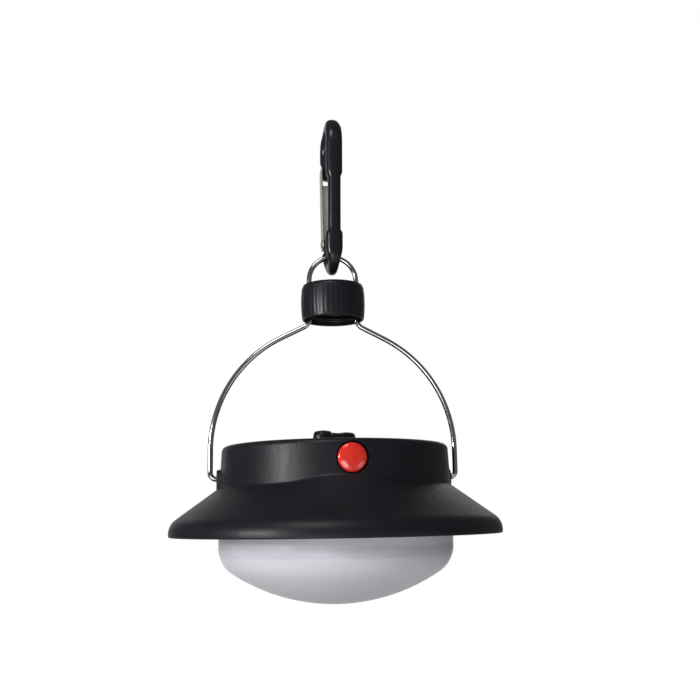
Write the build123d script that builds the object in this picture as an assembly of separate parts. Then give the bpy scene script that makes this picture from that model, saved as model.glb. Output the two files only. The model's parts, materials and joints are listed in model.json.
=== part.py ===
from build123d import *
import os
from math import asin, cos, degrees, radians, sin, tan

# Hanging camping lamp: a shade with a frosted lens below and a battery neck above, carried by a
# wire bail whose small top loop hangs in a snap hook. Millimetres. The origin is the lowest point
# of the lens, +Z is up, the push button faces -Y and the bail turns about an axis along X.

# ---- Shade and neck ----
rim_radius = 77.0
rim_band = 5.67
shade_slope = 35.7
shade_round = 8.0
neck_draft = 1.0
junction_z = 53.2
neck_top_radius = 53.0
neck_top_z = 72.0
neck_round = 2.5
shell_wall = 2.0
swell_height = 3.7
swell_half_width = 27.0
swell_reach = 14.0
swell_root = 1.0
swell_sink = 3.0
swell_toe = 2.5
swell_toe_sink = 0.5

# ---- Lens and its seat ----
lens_step = 1.3
lens_wall = 1.8
lens_knuckle = 14.0
lens_straight_z = 26.0
lens_top_z = 45.5
lens_play = 0.3
skirt_wall = 1.8
skirt_z = 41.0
gasket_height = 1.0

# ---- Inner ledge, bosses and boards ----
ledge_top_z = 52.0
ledge_width = 1.9
boss_radius = 3.5
boss_inset = 5.1
boss_count = 6
boss_first = 30.0
screw_count = 3
board_screws_first = 90.0
tray_screws_first = 30.0
board_thickness = 1.6
board_play = 0.5
screw_radius = 1.3
screw_play = 0.15
screw_head_radius = 2.4
screw_head_height = 1.6
screw_length = 5.0
led_radius = 2.5
led_height = 7.0
led_collar_lip = 0.4
led_collar_height = 1.0
reflector_lip = 2.0
reflector_wall = 1.0
reflector_height = 9.0
reflector_play = 0.4
led_rings = ((40.0, 24), (30.5, 18), (21.0, 12), (11.0, 6))
resistor_circle = 35.2
resistor_count = 12
resistor_size = (1.6, 3.2, 0.6)

# ---- Battery tray and cells ----
cell_radius = 7.25
cell_length = 49.2
cell_tip_radius = 2.75
cell_tip_length = 1.3
cell_count = 4
cell_gap = 0.3
tray_floor = 1.5
tray_play = 0.3
tray_wall = 1.5
tray_wall_height = 9.0
contact_room = 3.2
contact_sheet = 0.4
contact_width = 10.0
contact_height = 11.5
contact_knob_radius = 3.0
coil_radius = 3.0
coil_turns = 3
pack_shift_y = 0.9

# ---- Battery cover ----
cover_inset = 7.8
cover_play = 0.3
cover_turn = 40.0
tab_count = 3
tab_first = 60.0
tab_angle = 20.0
tab_reach = 3.3
tab_thickness = 1.6
tab_gap = 0.2
notch_play = 0.3
notch_angle_play = 4.0
notch_roof = 0.8
cover_skirt_inset = 1.4
cover_skirt_wall = 1.5
seal_section = 0.8
seal_squeeze = 0.1
grip_height = 7.0
grip_end_radius = 4.5
grip_half_span = 8.5
grip_bar_width = 5.6
grip_bar_drop = 0.5
grip_edge = 1.8
grip_heading = 40.0

# ---- Push button and switch ----
button_radius = 6.35
button_play = 0.35
button_z = 63.7
button_proud = 1.5
button_dome = 1.0
button_wing_reach = 8.6
button_wing_half_height = 2.2
button_wing_thickness = 1.2
button_stem_length = 2.8
button_travel = 1.5
plunger_side = 2.2
plunger_play = 0.15
switch_side = 8.0
switch_depth = 8.0
stem_radius = 2.0
wing_gap = 0.3
plunger_proud = 0.7
plunger_hold = 3.0
switch_board_half = 7.0

# ---- Bail wire and ring cap ----
wire_radius = 1.25
bail_stand = 5.3
bail_pivot_z = 57.2
bail_arc_z = 70.4
bail_arc_radius = 60.0
shoulder_slope = 26.6
foot_bend = 2.8
foot_inset = 3.5
leg_offset = 11.5
leg_bend = 5.0
loop_z = 153.0
ear_radius = 4.2
ear_gap = 0.1
ear_play = 0.05
ring_cap_radius = 15.5
ring_cap_z = 133.0
ring_cap_height = 17.1
ring_cap_wall = 1.2
ring_cap_top = 2.0
ring_cap_bevel_width = 1.5
ring_cap_bevel_height = 2.0
rib_count = 40
rib_radius = 0.5
thread_depth = 0.8
thread_pitch = 4.0
thread_start = 3.0
thread_turns = 3

# ---- Snap hook ----
hook_top_radius = 15.0
hook_foot_radius = 10.5
hook_width = 6.4
hook_thickness = 6.3
hook_foot_thickness = 8.3
hook_foot_depth = 6.9
hook_foot_height = 20.4
hook_length = 79.0
hook_edge = 1.9
hook_foot_edge = 2.6
hook_head_thickness = 8.0
hook_head_edge = 2.75
hook_head_z = 204.0
seat_gap = 0.25
nose_tip = 42.1
gate_pivot = 7.6
gate_length = 40.5
gate_sheet = 0.6
gate_side_gap = 0.2
gate_web_gap = 0.25
gate_depth = 8.0
gate_straight = 10.0
gate_corner = 3.0
gate_heel = 0.5
mouth_play = 1.5
gate_tip_gap = 1.0
rivet_radius = 1.2
rivet_play = 0.05
rivet_head_radius = 2.3
rivet_head_height = 0.8
spring_wire = 0.4
spring_slot = 2.0
spring_slot_play = 0.4
spring_leg = 9.0

# ---- Sizes worked out from the driving ones ----
slope = tan(radians(shade_slope))
junction_radius = neck_top_radius + neck_draft
shade_corner_z = junction_z - (rim_radius - junction_radius) * slope
rim_z = shade_corner_z - rim_band
skin_drop = shell_wall / cos(radians(shade_slope))
lens_radius = neck_top_radius + lens_step
skirt_inner = lens_radius + lens_play
skirt_outer = skirt_inner + skirt_wall
seat_z = lens_top_z + gasket_height
inner_radius = neck_top_radius - shell_wall
ledge_radius = inner_radius - ledge_width
boss_circle = ledge_radius - boss_inset
deck_z = neck_top_z - shell_wall
cover_radius = neck_top_radius - cover_inset
opening_radius = cover_radius + cover_play
board_z = seat_z - board_thickness
board_radius = ledge_radius - board_play
tray_radius = inner_radius - tray_play
tray_top_z = ledge_top_z + tray_floor
cell_z = tray_top_z + cell_gap + cell_radius
cell_pitch = 2 * cell_radius + cell_gap
bail_half_width = neck_top_radius + bail_stand
foot_reach = neck_top_radius - foot_inset
ear_face = bail_half_width - foot_bend - ear_gap
loop_top_z = loop_z + leg_offset
hook_seat_z = loop_top_z - wire_radius - seat_gap
hook_bottom_z = hook_seat_z - hook_foot_depth
hook_top_z = hook_bottom_z + hook_length
hook_top_center_z = hook_top_z - hook_top_radius
hook_foot_center_z = hook_bottom_z + hook_foot_radius
hook_lean = degrees(asin((hook_top_radius - hook_foot_radius) / (hook_top_center_z - hook_foot_center_z)))
gate_out = hook_width / 2 + gate_web_gap + gate_sheet
button_face_y = neck_top_radius + button_proud
button_crown_radius = (button_radius ** 2 + button_dome ** 2) / (2 * button_dome)
wing_y = (inner_radius ** 2 - button_wing_reach ** 2) ** 0.5 - wing_gap
cap_back_y = wing_y - button_wing_thickness
plunger_tip_y = cap_back_y - button_stem_length
switch_front_y = plunger_tip_y - button_travel - plunger_proud


def turned(points, rounds=()):
    """A solid of revolution about Z from (radius, height) points, with some corners rounded."""
    face = make_face(Polyline(*points, close=True))
    for corner, radius in rounds:
        face = fillet(face.vertices().sort_by_distance(Vector(*corner))[0], radius)
    return revolve(Plane.XZ * face, Axis.Z)


def ring(outer, inner, low, high):
    """A plain ring about Z between two heights."""
    height = high - low
    return Pos(0, 0, low + height / 2) * (Cylinder(outer, height) - Cylinder(inner, height))


def disc(radius, low, high):
    """A plain disc about Z between two heights."""
    return Pos(0, 0, (low + high) / 2) * Cylinder(radius, high - low)


def block(x_low, x_high, y_low, y_high, z_low, z_high):
    """A box between opposite corners."""
    size = (x_high - x_low, y_high - y_low, z_high - z_low)
    return Pos((x_low + x_high) / 2, (y_low + y_high) / 2, (z_low + z_high) / 2) * Box(*size)


def bar_x(radius, x_low, x_high, y, z):
    """A round bar along X."""
    return Pos((x_low + x_high) / 2, y, z) * (Rot(0, 90, 0) * Cylinder(radius, x_high - x_low))


def bar_y(radius, y_low, y_high, z):
    """A round bar along Y, on x = 0."""
    return Pos(0, (y_low + y_high) / 2, z) * (Rot(90, 0, 0) * Cylinder(radius, y_high - y_low))


def around(shape, count, first=0.0):
    """Copies of a shape spaced evenly about Z."""
    return [Rot(0, 0, first + 360 * index / count) * shape for index in range(count)]


def joined(shapes):
    """One solid fused from touching or overlapping shapes."""
    result = shapes[0]
    for shape in shapes[1:]:
        result = result + shape
    return result


# ---- Housing ----
def shade_swell():
    """The low bulge of the shade's crown under the button: a cone frustum leaning on the neck."""
    crest_z = junction_z + swell_height
    foot_radius = junction_radius + swell_reach
    foot_z = junction_z - swell_reach * slope
    wedge = turned(
        [
            (inner_radius + swell_root, junction_z - swell_sink),
            (foot_radius - swell_toe, foot_z - swell_toe_sink),
            (foot_radius, foot_z - swell_toe_sink / 2),
            (junction_radius, crest_z),
            (inner_radius + swell_root, crest_z),
        ]
    )
    plan = Ellipse(swell_half_width, swell_height)
    window = Pos(0, 0, junction_z) * (Rot(90, 0, 0) * extrude(plan, rim_radius))
    return wedge & window


def bail_ears():
    """A moulded ear on each side of the neck, rounded over the bail's pivot and set in the shade."""
    ears = []
    for side in (-1, 1):
        x_low, x_high = sorted((side * (inner_radius + 0.6), side * ear_face))
        pad = bar_x(ear_radius, x_low, x_high, 0, bail_pivot_z)
        web = block(x_low, x_high, -ear_radius, ear_radius, junction_z - swell_sink, bail_pivot_z)
        ears.append(pad + web)
    return ears


def shade_housing():
    """One moulding: rim, sloping shade, neck, top deck, inner ledge and the skirt around the lens."""
    rim_inner = rim_radius - shell_wall
    rim_inner_z = junction_z - (rim_inner - junction_radius) * slope - skin_drop
    skirt_top_z = junction_z - (skirt_outer - junction_radius) * slope - skin_drop
    shell = turned(
        [
            (rim_radius, rim_z),
            (rim_radius, shade_corner_z),
            (junction_radius, junction_z),
            (neck_top_radius, neck_top_z),
            (opening_radius, neck_top_z),
            (opening_radius, deck_z),
            (inner_radius, deck_z),
            (inner_radius, ledge_top_z),
            (ledge_radius, ledge_top_z),
            (ledge_radius, seat_z),
            (skirt_inner, seat_z),
            (skirt_inner, skirt_z),
            (skirt_outer, skirt_z),
            (skirt_outer, skirt_top_z),
            (rim_inner, rim_inner_z),
            (rim_inner, rim_z),
        ],
        [
            ((rim_radius, shade_corner_z), shade_round),
            ((rim_inner, rim_inner_z), shade_round - shell_wall),
            ((neck_top_radius, neck_top_z), neck_round),
        ],
    )
    boss = Pos(boss_circle, 0, (seat_z + ledge_top_z) / 2) * Cylinder(boss_radius, ledge_top_z - seat_z)
    tie = block(boss_circle, ledge_radius + 0.5, -boss_radius, boss_radius, seat_z, ledge_top_z)
    body = joined([shell, shade_swell()] + bail_ears() + around(boss + tie, boss_count, boss_first))
    pilot = Pos(boss_circle, 0, (seat_z + ledge_top_z) / 2) * Cylinder(screw_radius, ledge_top_z - seat_z)
    for hole in around(pilot, boss_count, boss_first):
        body -= hole
    for side in (-1, 1):
        x_low, x_high = sorted((side * (inner_radius - 3), side * (ear_face + 1)))
        body -= bar_x(wire_radius + ear_play, x_low, x_high, 0, bail_pivot_z)
    body -= bar_y(button_radius + button_play, -rim_radius, -cap_back_y + 2 * button_travel, button_z)
    notch_radius = opening_radius + tab_reach + notch_play
    notch_angle = tab_angle + notch_angle_play
    notch = sector(notch_radius, opening_radius - 1, notch_angle, deck_z - 1, neck_top_z - notch_roof)
    for cut in around(notch, tab_count, tab_first + cover_turn):
        body -= cut
    return body


def sector(outer, inner, angle, low, high):
    """A slice of a ring, centred on +X."""
    far_x = 2 * outer * cos(radians(angle / 2))
    far_y = 2 * outer * sin(radians(angle / 2))
    plan = make_face(Polyline((0, 0), (far_x, -far_y), (far_x, far_y), close=True))
    wedge = Pos(0, 0, low) * extrude(plan, high - low)
    return ring(outer, inner, low, high) & wedge


# ---- Lens and light ----
def lens():
    """Frosted bowl: a straight wall, a knuckle arc and a crown arc that meet smoothly."""
    def outline(radius, knuckle, bottom):
        depth = lens_straight_z - bottom
        crown = ((radius - knuckle) ** 2 + depth ** 2 - knuckle ** 2) / (2 * (depth - knuckle))
        reach = (radius - knuckle) / (crown - knuckle)
        touch = (crown * reach, bottom + crown - crown * (1 - reach ** 2) ** 0.5)
        wall = Line((radius, lens_top_z), (radius, lens_straight_z))
        bend = TangentArc((radius, lens_straight_z), touch, tangent=(0, -1))
        crown_arc = RadiusArc(touch, (0, bottom), crown, short_sagitta=True)
        closing = Polyline((0, bottom), (0, lens_top_z), (radius, lens_top_z))
        return make_face(wall + bend + crown_arc + closing)

    outer = outline(lens_radius, lens_knuckle, 0.0)
    inner = outline(lens_radius - lens_wall, lens_knuckle - lens_wall, lens_wall)
    return revolve(Plane.XZ * (outer - inner), Axis.Z)


def lens_gasket():
    return ring(lens_radius, lens_radius - lens_wall, lens_top_z, seat_z)


def led_places():
    """Centres of the lamps on their rings, with each ring turned half a step from the last."""
    places = []
    for row, (radius, count) in enumerate(led_rings):
        for index in range(count):
            angle = radians(360 * (index + 0.5 * ((row + 1) % 2)) / count)
            places.append((radius * cos(angle), radius * sin(angle)))
    return places


def screws(low_side, first):
    """Three pan-head screws in the bosses, driven from below or from above."""
    if low_side:
        head = disc(screw_head_radius, board_z - screw_head_height, board_z)
        shank = disc(screw_radius, board_z, board_z + screw_length)
    else:
        head = disc(screw_head_radius, tray_top_z, tray_top_z + screw_head_height)
        shank = disc(screw_radius, tray_top_z - screw_length, tray_top_z)
    return around(Pos(boss_circle, 0, 0) * (head + shank), screw_count, first)


def led_board():
    plate = disc(board_radius, board_z, seat_z)
    hole = Pos(boss_circle, 0, 0) * disc(screw_radius + screw_play, board_z, seat_z)
    for cut in around(hole, screw_count, board_screws_first):
        plate -= cut
    return plate


def leds():
    """Round-nosed lamps with a collar, standing on the board's lower face."""
    nose_z = board_z - led_height + led_radius
    collar = disc(led_radius + led_collar_lip, board_z - led_collar_height, board_z)
    barrel = disc(led_radius, nose_z, board_z - led_collar_height)
    nose = Pos(0, 0, nose_z) * Sphere(led_radius)
    lamp = collar + barrel + nose
    return [Pos(x, y, 0) * lamp for x, y in led_places()]


def led_resistors():
    """Small chip resistors between the two outer rings."""
    chip = Pos(resistor_circle, 0, board_z - resistor_size[2] / 2) * Box(*resistor_size)
    return around(chip, resistor_count, 180 / resistor_count)


def reflector_ring():
    """White collar that hides the gap between the board's edge and the lens."""
    lip = board_radius - reflector_lip
    low_radius = lens_radius - lens_wall - reflector_play
    low_z = board_z - reflector_height
    step_z = board_z - reflector_wall
    return turned(
        [
            (lip, board_z),
            (board_radius, board_z),
            (low_radius, low_z),
            (low_radius - reflector_wall, low_z),
            (board_radius - reflector_wall, step_z),
            (lip, step_z),
        ]
    )


# ---- Batteries ----
def cell_rows():
    """The y of each cell and the way its tip points."""
    first = pack_shift_y - (cell_count - 1) / 2 * cell_pitch
    return [(first + index * cell_pitch, 1 - 2 * (index % 2)) for index in range(cell_count)]


def battery_cell(y, heading):
    can = bar_x(cell_radius, -cell_length / 2, cell_length / 2, y, cell_z)
    tip_low, tip_high = sorted((heading * cell_length / 2, heading * (cell_length / 2 + cell_tip_length)))
    tip = bar_x(cell_tip_radius, tip_low, tip_high, y, cell_z)
    return can + tip


def contact_plates():
    """A plate at each end of each cell, standing against the tray's end walls."""
    x_wall = cell_length / 2 + contact_room
    plates = []
    for y, heading in cell_rows():
        for side in (-1, 1):
            x_low, x_high = sorted((side * (x_wall - contact_sheet), side * x_wall))
            half = contact_width / 2
            plates.append(block(x_low, x_high, y - half, y + half, tray_top_z, tray_top_z + contact_height))
            if side == heading:
                tip_x = cell_length / 2 + cell_tip_length
                x_low, x_high = sorted((side * tip_x, side * (x_wall - contact_sheet)))
                plates[-1] = plates[-1] + bar_x(contact_knob_radius, x_low, x_high, y, cell_z)
    return plates


def contact_springs():
    """A coil at the flat end of each cell, squeezed between the cell and its plate."""
    height = contact_room - contact_sheet - 2 * spring_wire
    path = Helix(pitch=height / coil_turns, height=height, radius=coil_radius)
    section = Plane(path @ 0, z_dir=path % 0) * Circle(spring_wire)
    coil = sweep(section, path=path)
    springs = []
    for y, heading in cell_rows():
        x_start = cell_length / 2 + spring_wire
        turn = Rot(0, 90, 0) if heading < 0 else Rot(0, -90, 0)
        springs.append(Pos(-heading * x_start, y, cell_z) * (turn * coil))
    return springs


def battery_tray():
    """Floor on the ledge, with end walls for the contacts, cradle ribs and the switch's wall."""
    x_wall = cell_length / 2 + contact_room
    half_y = cell_count * cell_pitch / 2 + 0.5
    top = tray_top_z + tray_wall_height
    y_low, y_high = pack_shift_y - half_y, pack_shift_y + half_y
    floor = disc(tray_radius, ledge_top_z, tray_top_z)
    walls = [
        block(-x_wall - tray_wall, -x_wall, y_low, y_high, ledge_top_z, top),
        block(x_wall, x_wall + tray_wall, y_low, y_high, ledge_top_z, top),
        block(-x_wall - tray_wall, x_wall + tray_wall, y_low - tray_wall, y_low, ledge_top_z, top),
        block(-x_wall - tray_wall, x_wall + tray_wall, y_high, y_high + tray_wall, ledge_top_z, top),
    ]
    post_y = -switch_front_y + switch_depth + board_thickness
    post_top = button_z + switch_side / 2
    post = block(-switch_side, switch_side, post_y, post_y + tray_wall, ledge_top_z, post_top)
    tray = joined([floor] + walls + [post])
    for y, _ in cell_rows():
        tray -= bar_x(cell_radius + cell_gap / 2, -cell_length / 2, cell_length / 2, y, cell_z)
    hole = Pos(boss_circle, 0, 0) * disc(screw_radius + screw_play, ledge_top_z, tray_top_z)
    for cut in around(hole, screw_count, tray_screws_first):
        tray -= cut
    return tray


# ---- Battery cover ----
def battery_cover():
    """Disc with an edge groove for the seal, and bayonet tabs under the housing's deck."""
    plate = disc(cover_radius, deck_z, neck_top_z)
    groove_low = deck_z + (shell_wall - seal_section) / 2
    plate -= ring(cover_radius + 1, cover_radius - seal_section, groove_low, groove_low + seal_section)
    skirt_radius = cover_radius - cover_skirt_inset
    tab_top = deck_z - tab_gap
    tab_low = tab_top - tab_thickness
    skirt = ring(skirt_radius, skirt_radius - cover_skirt_wall, tab_low, deck_z)
    tab = sector(cover_radius + tab_reach, skirt_radius - cover_skirt_wall / 2, tab_angle, tab_low, tab_top)
    return joined([plate, skirt] + around(tab, tab_count, tab_first))


def cover_seal():
    groove_low = deck_z + (shell_wall - seal_section) / 2
    outer = cover_radius + seal_squeeze
    return ring(outer, cover_radius - seal_section, groove_low, groove_low + seal_section)


def cover_grip():
    """Finger grip: two round lumps joined by a lower bar."""
    lump = disc(grip_end_radius, neck_top_z, neck_top_z + grip_height)
    lump = fillet(lump.edges().sort_by(Axis.Z)[-1], grip_edge)
    half_width = grip_bar_width / 2
    bar_top = neck_top_z + grip_height - grip_bar_drop
    bar = block(-grip_half_span, grip_half_span, -half_width, half_width, neck_top_z, bar_top)
    grip = joined([bar] + [Pos(side * grip_half_span, 0, 0) * lump for side in (-1, 1)])
    return Rot(0, 0, grip_heading) * grip


# ---- Button and switch ----
def power_button():
    """Domed cap with two wings behind the neck's wall and a stem on the switch."""
    edge_y = button_face_y - button_dome
    crown = RadiusArc((0, button_face_y), (button_radius, edge_y), button_crown_radius, short_sagitta=True)
    back = Polyline(
        (button_radius, edge_y),
        (button_radius, cap_back_y),
        (stem_radius, cap_back_y),
        (stem_radius, plunger_tip_y),
        (0, plunger_tip_y),
        (0, button_face_y),
    )
    cap = revolve(Plane.XZ * make_face(crown + back), Axis.Z)
    wings = block(
        -button_wing_reach,
        button_wing_reach,
        -wing_y,
        -cap_back_y,
        button_z - button_wing_half_height,
        button_z + button_wing_half_height,
    )
    return Pos(0, 0, button_z) * (Rot(90, 0, 0) * cap) + wings


def switch_plunger():
    half = plunger_side / 2
    y_high = -switch_front_y + plunger_hold
    return block(-half, half, -plunger_tip_y, y_high, button_z - half, button_z + half)


def switch_body():
    """Push switch with a square well that the plunger slides in."""
    half = switch_side / 2
    well = plunger_side / 2 + plunger_play
    front = -switch_front_y
    body = block(-half, half, front, front + switch_depth, button_z - half, button_z + half)
    well_back = front + plunger_hold + 1.4 * button_travel
    return body - block(-well, well, front, well_back, button_z - well, button_z + well)


def switch_board():
    y_low = -switch_front_y + switch_depth
    half = switch_board_half
    return block(-half, half, y_low, y_low + board_thickness, tray_top_z, button_z + switch_side / 2)


# ---- Bail and ring cap ----
def bail_wire():
    """One round wire: inturned feet, straight legs, wide arcs, sloping shoulders and a half-round loop."""
    rise = radians(90 - shoulder_slope)
    arc_x = bail_half_width - bail_arc_radius
    arc_end = (arc_x + bail_arc_radius * cos(rise), bail_arc_z + bail_arc_radius * sin(rise))
    corner_z = arc_end[1] + (arc_end[0] - leg_offset) * tan(radians(shoulder_slope))
    set_back = leg_bend * tan(rise / 2)
    run = (cos(radians(shoulder_slope)), sin(radians(shoulder_slope)))
    bend_low = (leg_offset + set_back * run[0], corner_z - set_back * run[1])
    bend_high = (leg_offset, corner_z + set_back)

    def half(side):
        foot = (side * (bail_half_width - foot_bend), bail_pivot_z)
        knee = (side * bail_half_width, bail_pivot_z + foot_bend)
        hip = (side * bail_half_width, bail_arc_z)
        end = (side * arc_end[0], arc_end[1])
        low = (side * bend_low[0], bend_low[1])
        high = (side * bend_high[0], bend_high[1])
        spring = (side * leg_offset, loop_z)
        return [
            Line((side * foot_reach, bail_pivot_z), foot),
            TangentArc(foot, knee, tangent=(side, 0)),
            Line(knee, hip),
            TangentArc(hip, end, tangent=(0, 1)),
            Line(end, low),
            TangentArc(low, high, tangent=(-side * run[0], run[1])),
            Line(high, spring),
        ]

    loop = ThreePointArc((-leg_offset, loop_z), (0, loop_top_z), (leg_offset, loop_z))
    path = Plane.XZ * (Curve() + half(-1) + [loop] + half(1))
    start = Plane(origin=(foot_reach, 0, bail_pivot_z), z_dir=(1, 0, 0))
    return sweep(start * Circle(wire_radius), path=Wire(path.edges()))


def ring_cap():
    """Ribbed cap, closed above and open below, with two wire holes and raised thread rings inside."""
    base_radius = ring_cap_radius - rib_radius
    plan = Circle(base_radius) + PolarLocations(base_radius, rib_count) * Circle(rib_radius)
    top_z = ring_cap_z + ring_cap_height
    body = Pos(0, 0, ring_cap_z) * extrude(plan, ring_cap_height)
    beyond = ring_cap_radius + 1
    envelope = [
        (0, ring_cap_z - 1),
        (beyond, ring_cap_z - 1),
        (beyond, top_z - ring_cap_bevel_height),
        (ring_cap_radius - ring_cap_bevel_width, top_z),
        (0, top_z),
    ]
    body = body & turned(envelope)
    bore = base_radius - ring_cap_wall
    cavity = [(0, ring_cap_z - 1), (bore, ring_cap_z - 1)]
    for turn in range(thread_turns):
        z = ring_cap_z + thread_start + turn * thread_pitch
        cavity += [(bore, z - thread_depth), (bore - thread_depth, z), (bore, z + thread_depth)]
    cavity += [(bore, top_z - ring_cap_top), (0, top_z - ring_cap_top)]
    body -= turned(cavity)
    for side in (-1, 1):
        body -= Pos(side * leg_offset, 0, top_z) * Cylinder(wire_radius, 4 * ring_cap_top)
    return body


# ---- Snap hook: drawn in the YZ plane, as thick as it is along X ----
def hook_slab(face, thickness):
    """A (y, z) face made a slab of the given thickness, centred on x = 0."""
    return Pos(-thickness / 2, 0, 0) * (Plane.YZ * extrude(face, thickness))


def hook_part(face, thickness, edge, y_low, y_high, z_low, z_high):
    """The stretch of the hook's slab inside a window, with the slab's long edges rounded."""
    slab = hook_slab(face, thickness)
    slab = fillet(slab.edges().filter_by(Axis.X, reverse=True), edge)
    return slab & block(-thickness, thickness, y_low, y_high, z_low, z_high)


def pear(top_radius, foot_radius, foot_z):
    """The convex outline around the hook's top and foot circles."""
    top = Pos(0, hook_top_center_z) * Circle(top_radius)
    foot = Pos(0, foot_z) * Circle(foot_radius)
    return make_hull((top + foot).edges())


def arm_frame():
    """Plane in the hook whose x runs up the gate-side arm's middle line from the foot circle."""
    lean = radians(hook_lean)
    middle = hook_foot_radius - hook_width / 2
    start = (middle * cos(lean), hook_foot_center_z - middle * sin(lean))
    return start, (sin(lean), cos(lean))


def arm_point(along, out=0.0):
    """A point (y, z) so far up the gate-side arm, and so far outwards from its middle."""
    start, heading = arm_frame()
    y = start[0] + along * heading[0] + out * heading[1]
    z = start[1] + along * heading[1] - out * heading[0]
    return y, z


def carabiner_body():
    """Pear-shaped ring, open at the gate, with a thicker foot and a thicker head above the gate's tip."""
    inner_foot = hook_foot_radius - hook_width
    outer = pear(hook_top_radius, hook_foot_radius, hook_foot_center_z)
    inner = pear(hook_top_radius - hook_width, inner_foot, hook_seat_z + inner_foot)
    face = outer - inner
    reach = 2 * hook_top_radius
    low_z = hook_bottom_z - 1
    foot_top_z = hook_bottom_z + hook_foot_height
    heel_z = arm_point(gate_pivot)[1] - gate_out - seat_gap
    tip_z = arm_point(gate_pivot + gate_length)[1] + gate_tip_gap
    top_z = hook_top_z + 1
    body = joined(
        [
            hook_part(face, hook_thickness, hook_edge, -reach, reach, low_z, top_z),
            hook_part(face, hook_foot_thickness, hook_foot_edge, -reach, 0, low_z, foot_top_z),
            hook_part(face, hook_foot_thickness, hook_foot_edge, 0, reach, low_z, heel_z),
            hook_part(face, hook_head_thickness, hook_head_edge, -reach, 0, hook_head_z, top_z),
            hook_part(face, hook_head_thickness, hook_head_edge, 0, reach, tip_z, top_z),
        ]
    )
    half = hook_width / 2
    mouth = make_face(
        Polyline(
            arm_point(gate_pivot, -half - mouth_play),
            arm_point(nose_tip, -half - mouth_play),
            arm_point(nose_tip, half + mouth_play),
            arm_point(gate_pivot, half + mouth_play),
            close=True,
        )
    )
    body -= hook_slab(mouth, 3 * hook_thickness)
    pivot = arm_point(gate_pivot)
    body += bar_x(half, -hook_thickness / 2, hook_thickness / 2, *pivot)
    body -= bar_x(half + spring_slot_play, -spring_slot / 2, spring_slot / 2, *pivot)
    body -= bar_x(rivet_radius, -hook_thickness, hook_thickness, *pivot)
    return body


def gate():
    """Folded sheet gate: the back runs up to the nose and the two sides go on past it."""
    out = gate_out
    back_top = nose_tip - gate_pivot - gate_tip_gap
    half_outer = hook_thickness / 2 + gate_side_gap + gate_sheet
    tip = gate_pivot + gate_length
    side_face = make_face(
        Polyline(
            arm_point(gate_pivot, -out),
            arm_point(gate_pivot + gate_straight, -out),
            arm_point(tip, out - gate_depth),
            arm_point(tip, out),
            arm_point(gate_pivot, out),
            close=True,
        )
    )
    corner = side_face.vertices().sort_by_distance(Vector(*arm_point(tip, out)))[0]
    side_face = fillet(corner, gate_corner)
    pivot = arm_point(gate_pivot)
    side_face += Pos(*pivot) * Circle(out)
    shape = hook_slab(side_face, 2 * half_outer)
    hollow = make_face(
        Polyline(
            arm_point(gate_pivot - 2 * out, -3 * out),
            arm_point(tip + 1, -3 * out),
            arm_point(tip + 1, out + 1),
            arm_point(gate_pivot + back_top, out + 1),
            arm_point(gate_pivot + back_top, out - gate_sheet),
            arm_point(gate_pivot - gate_heel, out - gate_sheet),
            arm_point(gate_pivot - gate_heel, 3 * out),
            arm_point(gate_pivot - 2 * out, 3 * out),
            close=True,
        )
    )
    shape -= hook_slab(hollow, 2 * (half_outer - gate_sheet))
    return shape - bar_x(rivet_radius + rivet_play, -2 * half_outer, 2 * half_outer, *pivot)


def gate_rivet():
    pivot = arm_point(gate_pivot)
    face = hook_thickness / 2 + gate_side_gap + gate_sheet + rivet_play
    reach = face + rivet_head_height
    shank = bar_x(rivet_radius, -reach, reach, *pivot)
    heads = [bar_x(rivet_head_radius, *sorted((side * face, side * reach)), *pivot) for side in (-1, 1)]
    return joined([shank] + heads)


def gate_spring():
    """Two coils about the rivet and a leg that lies against the gate's back."""
    y, z = arm_point(gate_pivot)
    winding = rivet_radius + 4 * rivet_play + spring_wire
    coil_offset = 0.9 * spring_wire
    coils = []
    for x in (-coil_offset, coil_offset):
        coils.append(Pos(x, y, z) * (Rot(0, 90, 0) * Torus(winding, spring_wire)))
    leg_out = hook_width / 2 + gate_web_gap - spring_wire - rivet_play
    start = arm_point(gate_pivot + gate_heel, winding)
    end = arm_point(gate_pivot + spring_leg, leg_out)
    leg_path = Plane.YZ * Line(start, end)
    leg = sweep(Plane(leg_path @ 0, z_dir=leg_path % 0) * Circle(spring_wire), path=leg_path)
    return joined(coils + [Pos(coil_offset, 0, 0) * leg])


def write(name, shapes):
    """Write one node: a single solid, or a group of separate ones."""
    group = shapes if isinstance(shapes, list) else [shapes]
    solids = [solid for shape in group for solid in shape.solids()]
    export_step(solids[0] if len(solids) == 1 else Compound(children=solids), f"parts/{name}.step")


os.makedirs("parts", exist_ok=True)
write("shade_housing", shade_housing())
write("lens", lens())
write("lens_gasket", lens_gasket())
write("reflector_ring", reflector_ring())
write("led_board", led_board())
write("leds", leds())
write("led_resistors", led_resistors())
write("board_screws", screws(True, board_screws_first))
write("battery_tray", battery_tray())
write("tray_screws", screws(False, tray_screws_first))
for number, (cell_y, cell_heading) in enumerate(cell_rows(), start=1):
    write(f"battery_cell_{number}", battery_cell(cell_y, cell_heading))
write("contact_plates", contact_plates())
write("contact_springs", contact_springs())
write("switch_body", switch_body())
write("switch_board", switch_board())
write("power_button", power_button())
write("switch_plunger", switch_plunger())
write("battery_cover", battery_cover())
write("cover_seal", cover_seal())
write("cover_grip", cover_grip())
write("bail_wire", bail_wire())
write("ring_cap", ring_cap())
write("carabiner_body", carabiner_body())
write("gate", gate())
write("gate_rivet", gate_rivet())
write("gate_spring", gate_spring())
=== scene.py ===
import json
import math

import bmesh
import bpy
import numpy as np
from mathutils import Matrix, Vector


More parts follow.
